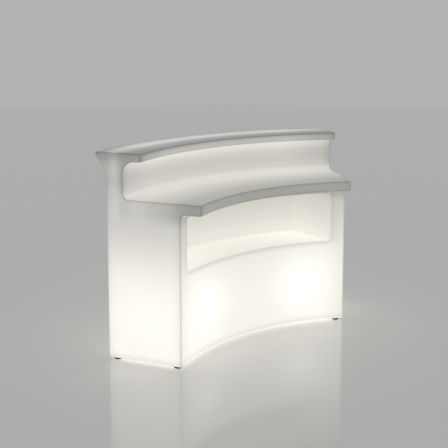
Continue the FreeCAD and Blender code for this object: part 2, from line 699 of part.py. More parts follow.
def lamp_pieces(side, has_gland):
    """All pieces of one lamp, by node name."""
    centre = lamp_centre(side)
    return {
        f"{side}_lamp_plate": lamp_plate(side, has_gland),
        f"{side}_lamp_gasket": lamp_gasket(centre),
        f"{side}_plate_screws": plate_screws(centre),
        f"{side}_plate_inserts": plate_inserts(centre),
        f"{side}_lamp_post": lamp_post(centre),
        f"{side}_lampholder": lampholder(centre),
        f"{side}_lampholder_contact": lampholder_contact(centre),
        f"{side}_bulb_cap": bulb_cap(centre),
        f"{side}_bulb_collar": bulb_collar(centre),
        f"{side}_bulb_globe": bulb_globe(centre),
        f"{side}_terminal_block": terminal_block(centre),
        f"{side}_lamp_leads": lamp_leads(centre),
    }


def all_pieces():
    """Every piece of the counter, by node name."""
    pieces = {"body_shell": body_shell(), "foot_inserts": foot_inserts(), "link_cable": link_cable()}
    for name, place in foot_places().items():
        pieces[f"foot_pad_{name}"] = foot_pad(place)
        pieces[f"foot_stem_{name}"] = foot_stem(place)
    for side in SIDES:
        pieces.update(lamp_pieces(side, side == "right"))
    pieces.update(gland_pieces("right"))
    return pieces


os.makedirs("parts", exist_ok=True)
for node, solid in all_pieces().items():
    solid.exportStep(f"parts/{node}.step")
    print(node, len(solid.Solids), solid.isValid(), round(solid.Volume))
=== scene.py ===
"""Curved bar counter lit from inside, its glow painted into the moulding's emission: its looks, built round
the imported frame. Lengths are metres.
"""
import json
import logging
import math
from dataclasses import dataclass, field
from enum import Enum
from typing import Any

import bmesh
import bpy
from bmesh.types import BMEdge, BMesh, BMVert
from bpy.types import Material, Node, NodeSocket, Object
from mathutils import Matrix, Vector


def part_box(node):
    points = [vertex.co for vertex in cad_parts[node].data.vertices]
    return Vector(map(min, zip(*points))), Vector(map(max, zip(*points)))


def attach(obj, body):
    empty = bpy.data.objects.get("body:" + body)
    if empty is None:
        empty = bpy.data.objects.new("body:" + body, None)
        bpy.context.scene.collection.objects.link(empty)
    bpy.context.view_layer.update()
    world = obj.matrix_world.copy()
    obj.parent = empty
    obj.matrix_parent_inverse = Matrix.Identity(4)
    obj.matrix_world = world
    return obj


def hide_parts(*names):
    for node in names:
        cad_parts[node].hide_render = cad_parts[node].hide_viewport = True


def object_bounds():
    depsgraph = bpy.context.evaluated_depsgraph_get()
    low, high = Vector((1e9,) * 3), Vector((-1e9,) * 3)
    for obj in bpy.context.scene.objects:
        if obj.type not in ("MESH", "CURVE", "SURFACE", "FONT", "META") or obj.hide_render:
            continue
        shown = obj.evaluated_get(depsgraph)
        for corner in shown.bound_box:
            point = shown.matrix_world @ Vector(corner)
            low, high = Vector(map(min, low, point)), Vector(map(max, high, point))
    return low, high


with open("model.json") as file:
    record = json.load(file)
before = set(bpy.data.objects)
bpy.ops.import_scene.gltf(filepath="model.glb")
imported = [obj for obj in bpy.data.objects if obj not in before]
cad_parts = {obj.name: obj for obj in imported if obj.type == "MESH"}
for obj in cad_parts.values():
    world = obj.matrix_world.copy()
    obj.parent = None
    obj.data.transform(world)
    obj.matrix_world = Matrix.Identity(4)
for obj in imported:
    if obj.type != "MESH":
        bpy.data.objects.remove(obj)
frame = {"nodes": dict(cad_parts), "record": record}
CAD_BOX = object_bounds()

LOG = logging.getLogger("counter")
MM = 0.001
IMAGE_PIXELS = 448
MERGE_DISTANCE = 1e-5
CUT_DISTANCE = 1e-6
ON_SURFACE = 1e-4
SHARP_ANGLE = math.radians(40)
FLAT_WEIGHT = 80
QUARTER = math.pi / 2
EDGE_SHADING_MARK = "edge"
NICHE_SHADE_MARK = "niche"
MATH = "ShaderNodeMath"
VECTOR_MATH = "ShaderNodeVectorMath"
MAP_RANGE = "ShaderNodeMapRange"
MIX = "ShaderNodeMix"
NOISE = "ShaderNodeTexNoise"
SMOOTH = {"interpolation_type": "SMOOTHSTEP"}
Inputs = dict[str | int, Any] | tuple[Any, ...]
Pairs = tuple[tuple[float, float], ...]


class Body(Enum):
    """Bodies of the frame that the pieces ride on, with the foot's name filled in for the feet."""

    COUNTER = "counter"
    STEM = "stem_{}"


class Foot(Enum):
    """The six levelling feet, by the row and the side that they stand on."""

    INNER_LEFT = "inner_left"
    INNER_RIGHT = "inner_right"
    MIDDLE_LEFT = "middle_left"
    MIDDLE_RIGHT = "middle_right"
    OUTER_LEFT = "outer_left"
    OUTER_RIGHT = "outer_right"


class Side(Enum):
    """The two ends of the counter, by the sign of X."""

    LEFT = -1
    RIGHT = 1


class Slot(Enum):
    """The record's material slots."""

    MOULDING = "translucent_polyethylene"
    BRASS = "brass"
    PVC = "white_pvc"
    POLYAMIDE = "black_polyamide"
    RUBBER = "rubber"
    ZINC = "zinc_plated_steel"
    PAINTED = "white_painted_steel"
    PHENOLIC = "white_phenolic"
    NICKEL = "nickel_plated_cap"
    POLYCARBONATE = "white_polycarbonate"
    OPAL = "opal_globe"
    NATURAL = "natural_polyamide"


def linear(hex_colour: str) -> tuple[float, float, float, float]:
    """Turns an sRGB hex value into a linear colour.

    Args:
        hex_colour: Six hex digits after a hash.

    Returns:
        Red, green, blue and an alpha of one.
    """
    parts = [int(hex_colour[start:start + 2], 16) / 255 for start in (1, 3, 5)]
    curve = [part / 12.92 if part <= 0.04045 else ((part + 0.055) / 1.055) ** 2.4 for part in parts]
    return (*curve, 1.0)


def feed(node: Node, inputs: Inputs) -> None:
    """Sets a node's inputs, or links them to other nodes.

    Args:
        node: The node to feed.
        inputs: A value or another node's output for each input, in order, or by name or number.
    """
    pairs = inputs.items() if isinstance(inputs, dict) else enumerate(inputs)
    for key, value in pairs:
        if isinstance(value, NodeSocket):
            node.id_data.links.new(value, node.inputs[key])
        else:
            node.inputs[key].default_value = value


@dataclass
class Finish:
    """A material with one Principled shader, which each kind of finish paints in its own way."""

    name: str
    shader: Node = field(init=False)
    place: NodeSocket = field(init=False)

    def add(
        self, kind: str, inputs: Inputs = (), output: str | int = 0, stops: Pairs = (), **settings: Any,
    ) -> NodeSocket:
        """Adds a node, sets its properties, and feeds its inputs.

        A map range takes its value, the range that this comes from and the range that it goes to. A mix has
        its factor at 0, its numbers at 2 and 3, and its colours at 6 and 7.

        Args:
            kind: Blender's name of the node type.
            inputs: What the node is fed with.
            output: The output that is wanted, by name or number.
            stops: The points of a curve node, as pairs of place and value from 0 to 1.
            settings: The node's own properties.

        Returns:
            The wanted output of the new node.
        """
        node = self.shader.id_data.nodes.new(kind)
        for name, value in settings.items():
            setattr(node, name, value)
        feed(node, inputs)
        if stops:
            points = node.mapping.curves[0].points
            for _ in stops[2:]:
                points.new(0.5, 0.5)
            for point, stop in zip(points, stops):
                point.location = stop
            node.mapping.update()
        return node.outputs[output]

    def paint(self) -> None:
        """Sets up the shader, which every kind of finish has to do."""
        raise NotImplementedError

    def make(self) -> Material:
        """Builds the material, with patterns that lie fixed on the object.

        Returns:
            The finished material.
        """
        material = bpy.data.materials.new(self.name)
        material.use_nodes = True
        self.shader = material.node_tree.nodes["Principled BSDF"]
        self.place = self.add("ShaderNodeTexCoord", output="Object")
        self.paint()
        return material


def new_object(name: str, mesh: BMesh, material: Material) -> Object:
    """Turns a bmesh into an object at the origin.

    Args:
        name: The object's name.
        mesh: The finished bmesh, which is freed here.
        material: The object's finish.

    Returns:
        The new object.
    """
    data = bpy.data.meshes.new(name)
    mesh.to_mesh(data)
    mesh.free()
    data.materials.append(material)
    made = bpy.data.objects.new(name, data)
    bpy.context.scene.collection.objects.link(made)
    return made


def finish_piece(name: str, mesh: BMesh, material: Material, body: str) -> Object:
    """Turns a bmesh into a piece that rides on a body, smooth except at its sharp edges.

    Args:
        name: The piece's name.
        mesh: The finished bmesh, which is freed here.
        material: The piece's finish.
        body: The body that carries it.

    Returns:
        The new piece.
    """
    for face in mesh.faces:
        face.smooth = True
    for edge in mesh.edges:
        edge.smooth = edge.calc_face_angle(math.pi) < SHARP_ANGLE
    piece = new_object(name, mesh, material)
    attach(piece, body)
    LOG.info("piece %s: %d faces on %s", name, len(piece.data.polygons), body)
    return piece


@dataclass(frozen=True)
class CounterForm:
    """Sizes of the moulded body in metres; radii are measured from the axis of its sweep."""

    half_sweep: float = math.radians(30.0)
    outer_wall: float = 1.600
    upper_wall: float = 1.505
    top_lip: float = 1.400
    inner_wall: float = 1.184
    shelf_lip: float = 1.070
    niche_back: float = 1.492
    base: float = 0.012
    niche_floor: float = 0.491
    niche_ceiling: float = 0.774
    shelf_underside: float = 0.804
    shelf: float = 0.861
    recess_ceiling: float = 1.055
    height: float = 1.100
    niche_half_width: float = 0.521
    flare_reach: float = 0.062
    flare_height: float = 0.175
    edge_round: float = 0.012
    end_round: float = 0.010
    base_round: float = 0.012
    top_cove: float = 0.060
    shelf_cove: float = 0.032
    under_cove: float = 0.022
    niche_cove: float = 0.030
    niche_side_round: float = 0.008
    niche_rim_round: float = 0.007
    niche_rim_band: float = 0.030
    lamp_radius: float = 1.392
    lamp_turn: float = math.radians(16.7)
    lamp_height: float = 0.250

    @property
    def axis(self) -> Vector:
        """The axis of the sweep, placed so that the flared edge meets the back of the frame's box."""
        return Vector((0, CAD_BOX[1].y - self.outer_wall - self.flare_reach, 0))

    def radius_of(self, point: Vector) -> float:
        """Distance of a point from the axis."""
        return math.hypot(point.x - self.axis.x, point.y - self.axis.y)

    def at(self, radius: float, turn: float, height: float) -> Vector:
        """A point at a radius and a turn from the middle of the counter."""
        return self.axis + Vector((radius * math.sin(turn), radius * math.cos(turn), height))

    def lamp(self, side: Side) -> Vector:
        """The middle of one lamp."""
        return self.at(self.lamp_radius, side.value * self.lamp_turn, self.lamp_height)

    def from_end(self, point: Vector) -> float:
        """Distance of a point from the nearer flat end."""
        ahead = point - self.axis
        return ahead.y * math.sin(self.half_sweep) - abs(ahead.x) * math.cos(self.half_sweep)

    def on_inner_wall(self, point: Vector) -> bool:
        """Whether a point lies on the inner wall."""
        return abs(self.radius_of(point) - self.inner_wall) < ON_SURFACE

    def level_with_niche(self, point: Vector, border: float = ON_SURFACE) -> bool:
        """Whether a point is between the heights of the niche's floor and ceiling, with a border."""
        return self.niche_floor - border < point.z < self.niche_ceiling + border

    def within_niche_width(self, point: Vector) -> bool:
        """Whether a point is between the sides of the niche or on one of them."""
        return abs(point.x) < self.niche_half_width + ON_SURFACE

    def in_niche_mouth(self, point: Vector) -> bool:
        """Whether a point lies on the stretch of the inner wall where the niche opens."""
        return self.on_inner_wall(point) and self.level_with_niche(point) and self.within_niche_width(point)

    def on_niche_side(self, point: Vector) -> bool:
        """Whether a point is level with the niche and as far aside as its two flat sides."""
        return abs(abs(point.x) - self.niche_half_width) < ON_SURFACE and self.level_with_niche(point)


@dataclass
class SectionPen:
    """Draws a section in the plane x = 0 with straight runs and tangent rounds.

    +Y is away from the axis and +Z is up. Points inside a round carry a mark, which rises to one in the
    middle of a convex round and falls to minus one in the middle of a cove; by it the finish paints shade
    along convex rounds and a highlight in coves. Left turns are convex, because the section is drawn with its
    inside on the left.
    """

    mesh: BMesh
    tip: BMVert
    heading: float = 0.0

    def run(self, length: float) -> None:
        """Draws a straight run ahead.

        Args:
            length: The run's length.
        """
        self.tip = bmesh.ops.extrude_vert_indiv(self.mesh, verts=[self.tip])["verts"][0]
        ahead = Vector((0, math.cos(self.heading), math.sin(self.heading)))
        bmesh.ops.translate(self.mesh, verts=[self.tip], vec=ahead * length)

    def turn(self, radius: float, angle: float, steps: int, strength: float) -> None:
        """Draws a round, to the left for a positive angle.

        Args:
            radius: The round's radius.
            angle: How far the heading turns, in radians.
            steps: Number of straight pieces in the round.
            strength: Size of the mark in the middle of the round.
        """
        side = math.copysign(1, angle)
        left = Vector((0, -math.sin(self.heading), math.cos(self.heading)))
        before = set(self.mesh.verts)
        made = bmesh.ops.spin(
            self.mesh, geom=[self.tip], cent=self.tip.co + left * side * radius, axis=(1, 0, 0),
            angle=angle, steps=steps,
        )
        self.tip = next(item for item in made["geom_last"] if isinstance(item, BMVert))
        self.heading += angle
        mark = self.mesh.verts.layers.float[EDGE_SHADING_MARK]
        fresh = [vert for vert in self.mesh.verts if vert not in before]
        for step, vert in enumerate(fresh, 1):
            vert[mark] = side * strength * math.sin(math.pi * step / steps)


@dataclass(frozen=True)
class Well:
    """A round hole sunk into the base: rings of radius and height, from the mouth to the closed end."""

    centre: Vector
    rings: Pairs
    segments: int


@dataclass
class MouldedBody:
    """The hollow moulding: bar top, recess, work shelf, niche, flat ends, and the lamp bays in its base.

    Steps are the faces across a round or along a stretch of the sweep. The marks tell the finish how much
    painted shade to lay on the wall beside the niche's rim and in the open part of the niche.
    """

    form: CounterForm
    mesh: BMesh = field(default_factory=bmesh.new)
    post_steps: int = 3
    niche_steps: int = 52
    end_steps: int = 6
    niche_cove_steps: int = 7
    niche_side_steps: int = 5
    niche_rim_steps: int = 4
    rim_flank_shade: float = 0.70
    niche_shade_strength: float = 0.76
    niche_corner_reach: float = 0.16
    bay_radius: float = 0.080
    bay_round: float = 0.006
    bay_round_steps: int = 4
    bay_ceiling: float = 0.056
    bay_segments: int = 72
    hatch_radius: float = 0.052
    hatch_top: float = 0.062
    insert_radius: float = 0.008
    insert_top: float = 0.038
    insert_segments: int = 24

    def section(self) -> None:
        """Draws the body's section, from the base round the outer wall and back down the inner wall."""
        form = self.form
        edge = form.edge_round
        for name in (EDGE_SHADING_MARK, NICHE_SHADE_MARK):
            self.mesh.verts.layers.float.new(name)
        # The flare is an arc that leaves the wall upright and runs on into the round of the top edge.
        out = form.flare_reach - edge
        rise = form.flare_height - edge
        flare = (out ** 2 + rise ** 2 - edge ** 2) / (2 * form.flare_reach)
        lean = math.atan2(rise, flare - out)
        # Each row has a straight run, then a round's radius, its turn, its steps and its mark, which sets
        # painted shade along a convex round and a painted highlight in a cove.
        rows = (
            (form.outer_wall - form.inner_wall - 2 * form.base_round, form.base_round, QUARTER, 6, 0),
            (form.height - form.flare_height - form.base - form.base_round, flare, -lean, 10, 0),
            (0, edge, QUARTER + lean, 7, 1),
            (form.outer_wall + form.flare_reach - form.top_lip - 2 * edge, edge, QUARTER, 5, 1),
            (form.height - form.recess_ceiling - 2 * edge, edge, QUARTER, 5, 1),
            (form.upper_wall - form.top_lip - edge - form.top_cove, form.top_cove, -QUARTER, 10, 1),
            (form.recess_ceiling - form.shelf - form.top_cove - form.shelf_cove,
             form.shelf_cove, -QUARTER, 7, 1),
            (form.upper_wall - form.shelf_lip - form.shelf_cove - edge, edge, QUARTER, 5, 1),
            (form.shelf - form.shelf_underside - 2 * edge, edge, QUARTER, 5, 1),
            (form.inner_wall - form.shelf_lip - edge - form.under_cove, form.under_cove, -QUARTER, 5, 1),
            (form.shelf_underside - form.under_cove - form.niche_ceiling, 0, 0, 0, 0),
            (form.niche_ceiling - form.niche_floor, 0, 0, 0, 0),
            (form.niche_rim_band, 0, 0, 0, 0),
            (form.niche_floor - form.niche_rim_band - form.base - form.base_round,
             form.base_round, QUARTER, 6, 0),
        )
        start = self.mesh.verts.new(form.at(form.inner_wall + form.base_round, 0, form.base))
        pen = SectionPen(self.mesh, start)
        for length, radius, turn, steps, strength in rows:
            if length:
                pen.run(length)
            if turn:
                pen.turn(radius, turn, steps, strength)
        bmesh.ops.remove_doubles(self.mesh, verts=self.mesh.verts[:], dist=MERGE_DISTANCE)

    def sweep(self) -> None:
        """Carries the section round the axis from the left end to the right one and closes the ends."""
        mesh = self.mesh
        axis = self.form.axis
        half_sweep = self.form.half_sweep
        niche_turn = math.asin(self.form.niche_half_width / self.form.inner_wall)
        to_left_end = Matrix.Rotation(half_sweep, 3, "Z")
        bmesh.ops.rotate(mesh, verts=mesh.verts[:], cent=axis, matrix=to_left_end)
        front = mesh.edges[:]
        post = (half_sweep - niche_turn, self.post_steps)
        niche = (2 * niche_turn, self.niche_steps)
        for turn, steps in (post, niche, post):
            made = bmesh.ops.spin(mesh, geom=front, cent=axis, axis=(0, 0, -1), angle=turn, steps=steps)
            front = [item for item in made["geom_last"] if isinstance(item, BMEdge)]
        open_edges = [edge for edge in mesh.edges if edge.is_boundary]
        bmesh.ops.holes_fill(mesh, edges=open_edges, sides=0)
        bmesh.ops.recalc_face_normals(mesh, faces=mesh.faces[:])

    def round_off(self, edges: list[BMEdge], radius: float, steps: int, strength: float = 0.0) -> None:
        """Rounds some edges and marks the points inside the round, most of all in its middle, for painted
        shade along it.

        Args:
            edges: The edges to round.
            radius: The round's radius.
            steps: Number of faces across the round.
            strength: The mark in the middle of the round.
        """
        made = bmesh.ops.bevel(
            self.mesh, geom=edges, offset=radius, offset_type="OFFSET", segments=steps, profile=0.5,
            affect="EDGES", clamp_overlap=False, material=-1,
        )
        self.mesh.normal_update()
        mark = self.mesh.verts.layers.float[EDGE_SHADING_MARK]
        faces = set(made["faces"])
        inside = {vert for vert in made["verts"] if faces.issuperset(vert.link_faces)}
        ring = set(made["verts"]) - inside
        step = 0
        while inside and ring:
            step += 1
            ring = {vert for vert in inside if any(edge.other_vert(vert) in ring for edge in vert.link_edges)}
            inside -= ring
            for vert in ring:
                vert[mark] = strength * math.sin(math.pi * step / steps)

    def round_ends(self) -> None:
        """Rounds the edge of each flat end."""
        form = self.form
        ends = [face for face in self.mesh.faces
                if all(abs(form.from_end(vert.co)) < ON_SURFACE for vert in face.verts)]
        edges = list({edge for face in ends for edge in face.edges})
        # A full mark along the end's rounded edge gives it a painted darker line.
        self.round_off(edges, form.end_round, self.end_steps, strength=1.0)
        mark = self.mesh.verts.layers.float[EDGE_SHADING_MARK]
        for vert in self.mesh.verts:
            if form.from_end(vert.co) < ON_SURFACE:
                vert[mark] = 0.0

    def sink_niche(self) -> None:
        """Pushes the middle of the inner wall back to make the niche, then rounds its corners and rim."""
        form = self.form
        mesh = self.mesh
        mouth = [face for face in mesh.faces if all(form.in_niche_mouth(vert.co) for vert in face.verts)]
        made = bmesh.ops.extrude_face_region(mesh, geom=mouth)["geom"]
        back = {item for item in made if isinstance(item, BMVert)}
        bmesh.ops.delete(mesh, geom=mouth, context="FACES")
        for vert in back:
            vert.co.y = form.axis.y + math.sqrt(form.niche_back ** 2 - vert.co.x ** 2)
        mesh.normal_update()
        levels = (form.niche_floor, form.niche_ceiling)
        coves = [edge for edge in mesh.edges if set(edge.verts) <= back
                 and any(all(abs(vert.co.z - level) < ON_SURFACE for vert in edge.verts) for level in levels)]
        self.round_off(coves, form.niche_cove, self.niche_cove_steps)
        sides = [face for face in mesh.faces if all(form.on_niche_side(vert.co) for vert in face.verts)]
        corners = [edge for face in sides for edge in face.edges
                   if not all(form.on_inner_wall(vert.co) for vert in edge.verts)]
        self.round_off(corners, form.niche_side_round, self.niche_side_steps)
        rim = [edge for edge in mesh.edges if edge.calc_face_angle(0) > SHARP_ANGLE
               and all(form.in_niche_mouth(vert.co) for vert in edge.verts)]
        # A full mark along the rim's round gives it a painted darker line.
        self.round_off(rim, form.niche_rim_round, self.niche_rim_steps, strength=1.0)

    def mark_niche(self) -> None:
        """Marks where shade is painted: the niche, most of all in its back corners, and the wall beside its
        rim.
        """
        form = self.form
        sunk = self.mesh.verts.layers.float[NICHE_SHADE_MARK]
        mark = self.mesh.verts.layers.float[EDGE_SHADING_MARK]
        border = form.niche_rim_round + ON_SURFACE
        post = form.inner_wall * math.sin(form.half_sweep) - form.niche_half_width
        for vert in self.mesh.verts:
            radius = form.radius_of(vert.co)
            inside = form.niche_half_width - abs(vert.co.x)
            # Painted shade on the wall beside the rim, fading out across the post.
            if form.on_inner_wall(vert.co) and form.level_with_niche(vert.co, border):
                across = max(-inside, 0) / post
                vert[mark] = self.rim_flank_shade * (1 - across) ** 2
            # Painted shade in the niche, deepest in its back corners.
            deep = form.inner_wall + form.niche_rim_round / 2 < radius < form.niche_back + ON_SURFACE
            if deep and form.level_with_niche(vert.co) and form.within_niche_width(vert.co):
                at_back = radius > form.niche_back - 2 * form.niche_cove
                near = max(1 - inside / self.niche_corner_reach, 0) if at_back else 0
                vert[sunk] = self.niche_shade_strength + (1 - self.niche_shade_strength) * near ** 2

    def wells(self, feet: list[Vector]) -> list[Well]:
        """Lists the holes in the base: two lamp bays with their hatches, and the seats of the feet's inserts.

        Args:
            feet: Where the feet stand.

        Returns:
            The holes, lamp bays first.
        """
        base = self.form.base
        turns = [QUARTER * step / self.bay_round_steps for step in range(self.bay_round_steps + 1)]
        mouth = tuple(
            (self.bay_radius + self.bay_round * (1 - math.sin(turn)),
             base + self.bay_round * (1 - math.cos(turn)))
            for turn in turns
        )
        hatch = ((self.hatch_radius, self.bay_ceiling), (self.hatch_radius, self.hatch_top))
        bay = (*mouth, (self.bay_radius, self.bay_ceiling), *hatch)
        seat = ((self.insert_radius, base), (self.insert_radius, self.insert_top))
        bays = [Well(self.form.lamp(side), bay, self.bay_segments) for side in Side]
        return bays + [Well(foot, seat, self.insert_segments) for foot in feet]

    def open_base(self, wells: list[Well]) -> None:
        """Replaces the flat underside by one with its holes.

        Args:
            wells: The holes to sink.
        """
        mesh = self.mesh
        base = self.form.base
        flat = [face for face in mesh.faces if all(abs(vert.co.z - base) < ON_SURFACE for vert in face.verts)]
        bmesh.ops.delete(mesh, geom=flat, context="FACES")
        outline = [edge for edge in mesh.edges if edge.is_boundary]
        mouths = []
        for well in wells:
            radius = well.rings[0][0]
            place = Matrix.Translation((well.centre.x, well.centre.y, base))
            made = bmesh.ops.create_circle(mesh, radius=radius, segments=well.segments, matrix=place)
            mouths.append(list({edge for vert in made["verts"] for edge in vert.link_edges}))
        rims = [edge for mouth in mouths for edge in mouth]
        bmesh.ops.triangle_fill(mesh, use_beauty=True, edges=outline + rims, normal=(0, 0, -1))
        for well, mouth in zip(wells, mouths):
            self.sink(well, mouth)
        bmesh.ops.recalc_face_normals(mesh, faces=mesh.faces[:])

    def sink(self, well: Well, mouth: list[BMEdge]) -> None:
        """Draws one hole up into the base, ring by ring, and closes its end.

        Args:
            well: The hole.
            mouth: The ring of edges where it starts.
        """
        ring = mouth
        for (radius, height), (next_radius, next_height) in zip(well.rings, well.rings[1:]):
            made = bmesh.ops.extrude_edge_only(self.mesh, edges=ring)["geom"]
            verts = [item for item in made if isinstance(item, BMVert)]
            ring = [item for item in made if isinstance(item, BMEdge)]
            centre = Vector((well.centre.x, well.centre.y, height))
            grow = next_radius / radius
            bmesh.ops.scale(self.mesh, verts=verts, vec=(grow, grow, 1), space=Matrix.Translation(-centre))
            bmesh.ops.translate(self.mesh, verts=verts, vec=(0, 0, next_height - height))
        bmesh.ops.contextual_create(self.mesh, geom=ring)

    def build(self, material: Material, feet: list[Vector]) -> None:
        """Makes the moulded body in place of its CAD solid.

        Args:
            material: The translucent moulding's finish.
            feet: Where the feet stand.
        """
        self.section()
        self.sweep()
        self.round_ends()
        self.sink_niche()
        self.mark_niche()
        self.open_base(self.wells(feet))
        piece = finish_piece("moulded_body", self.mesh, material, Body.COUNTER.value)
        # Normals weighted by area keep the flat faces flat beside their rounds.
        flats = piece.modifiers.new("flats", "WEIGHTED_NORMAL")
        flats.weight = FLAT_WEIGHT
        flats.keep_sharp = True
        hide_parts("body_shell")


@dataclass
class LevellingStems:
    """The screws of the feet: a head that turns in the pad, a hexagon collar and a thread of M10.

    The thread's outline is in shares: of its depth, down from the crest, and of its pitch, upwards.
    """

    mesh: BMesh = field(default_factory=bmesh.new)
    head_radius: float = 0.007
    head_low: float = 0.0027
    head_high: float = 0.0065
    neck_radius: float = 0.004
    collar_flats: float = 0.017
    collar_low: float = 0.0086
    collar_high: float = 0.0117
    collar_chamfer: float = 0.0007
    collar_sides: int = 6
    collar_chamfer_steps: int = 2
    thread_radius: float = 0.005
    thread_depth_share: float = 0.6134
    thread_outline: Pairs = ((1, 0), (1, 1 / 4), (0, 9 / 16), (0, 11 / 16), (1, 1))
    pitch: float = 0.0015
    tip: float = 0.042
    tip_chamfer: float = 0.001
    steps: int = 36

    def profile(self, outline: Pairs) -> list[BMEdge]:
        """Draws an outline of radius and height beside the stem's axis, which is the Z axis here."""
        verts = [self.mesh.verts.new((radius, 0, height)) for radius, height in outline]
        return [self.mesh.edges.new(pair) for pair in zip(verts, verts[1:])]

    def thread(self) -> None:
        """Winds the thread from inside the collar to the tip and chamfers its end."""
        mesh = self.mesh
        crest = self.thread_radius
        depth = self.thread_depth_share * self.pitch
        low = self.collar_high - 2 * self.pitch
        turns = math.ceil((self.tip - low) / self.pitch) + 1
        outline = tuple((crest - down * depth, low + up * self.pitch) for down, up in self.thread_outline)
        bmesh.ops.spin(
            mesh, geom=self.profile(outline), axis=(0, 0, 1), dvec=(0, 0, self.pitch / self.steps),
            angle=turns * math.tau, steps=turns * self.steps,
        )
        bmesh.ops.remove_doubles(mesh, verts=mesh.verts[:], dist=MERGE_DISTANCE)
        shoulder = self.tip - self.tip_chamfer
        for height, drop in ((self.collar_high - self.pitch / 2, -1), (shoulder, 0), (self.tip, 1)):
            bmesh.ops.bisect_plane(
                mesh, geom=mesh.verts[:] + mesh.edges[:] + mesh.faces[:], dist=CUT_DISTANCE,
                plane_co=(0, 0, height), plane_no=(0, 0, 1), clear_inner=drop < 0, clear_outer=drop > 0,
            )
        for vert in mesh.verts:
            out = Vector((vert.co.x, vert.co.y, 0))
            limit = shoulder + crest - vert.co.z
            if out.length > limit:
                vert.co -= out * (1 - limit / out.length)
        bmesh.ops.holes_fill(mesh, edges=[edge for edge in mesh.edges if edge.is_boundary], sides=0)

    def collar(self) -> None:
        """Makes the hexagon that a spanner turns."""
        mesh = self.mesh
        radius = self.collar_flats / 2 / math.cos(math.pi / self.collar_sides)
        made = bmesh.ops.create_circle(
            mesh, cap_ends=True, radius=radius, segments=self.collar_sides,
            matrix=Matrix.Translation((0, 0, self.collar_low)),
        )
        base = made["verts"][0].link_faces[0]
        made = bmesh.ops.extrude_face_region(mesh, geom=[base], use_keep_orig=True)["geom"]
        top = [item for item in made if isinstance(item, BMVert)]
        bmesh.ops.translate(mesh, verts=top, vec=(0, 0, self.collar_high - self.collar_low))
        rim = {edge for vert in top for edge in vert.link_edges}
        bmesh.ops.bevel(
            mesh, geom=list(rim), offset=self.collar_chamfer, offset_type="OFFSET",
            segments=self.collar_chamfer_steps, profile=0.5, affect="EDGES", clamp_overlap=True, material=-1,
        )

    def head(self) -> None:
        """Turns the head and the neck below the collar."""
        ring = self.profile((
            (0, self.head_low), (self.head_radius, self.head_low), (self.head_radius, self.head_high),
            (self.neck_radius, self.head_high), (self.neck_radius, self.collar_low), (0, self.collar_low),
        ))
        bmesh.ops.spin(self.mesh, geom=ring, axis=(0, 0, 1), angle=math.tau, steps=self.steps, use_merge=True)

    def build(self, material: Material, feet: dict[Foot, Vector]) -> None:
        """Makes one stem and sets a copy of it on each foot, in place of the CAD solids.

        Args:
            material: The plated steel's finish.
            feet: Where the feet stand.
        """
        self.thread()
        self.collar()
        self.head()
        bmesh.ops.remove_doubles(self.mesh, verts=self.mesh.verts[:], dist=MERGE_DISTANCE)
        bmesh.ops.recalc_face_normals(self.mesh, faces=self.mesh.faces[:])
        for foot, centre in feet.items():
            mesh = self.mesh.copy()
            bmesh.ops.translate(mesh, verts=mesh.verts[:], vec=(centre.x, centre.y, 0))
            name = foot.value
            piece = finish_piece(f"threaded_stem_{name}", mesh, material, Body.STEM.value.format(name))
            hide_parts(f"foot_stem_{name}")
        self.mesh.free()


